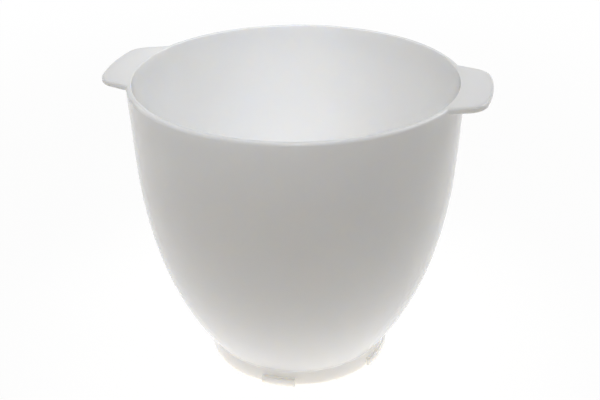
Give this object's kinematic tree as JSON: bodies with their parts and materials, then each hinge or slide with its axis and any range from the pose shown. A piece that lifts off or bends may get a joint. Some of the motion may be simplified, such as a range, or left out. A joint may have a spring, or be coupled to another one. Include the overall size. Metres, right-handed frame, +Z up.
{
  "type": "stand mixer bowl",
  "caption": "Tapered white plastic mixing bowl with flat tab handles at the rim and a foot ring with bayonet lugs that lock into a stand mixer's base.",
  "frame": {"origin": "on the bowl's own axis, on the surface that the foot ring stands on", "axes": "+Z up along the bowl's axis towards its mouth, +X along the line through the middles of the tab handles, +Y to the left of +X seen from above"},
  "size_m": [0.2536, 0.219, 0.2032],
  "materials": {
    "white_plastic": "glossy white injection-moulded plastic, opaque, with a faint warm grey tone in shade"
  },
  "bodies": {
    "root": {"mixer_bowl": "white_plastic"}
  },
  "joints": []
}
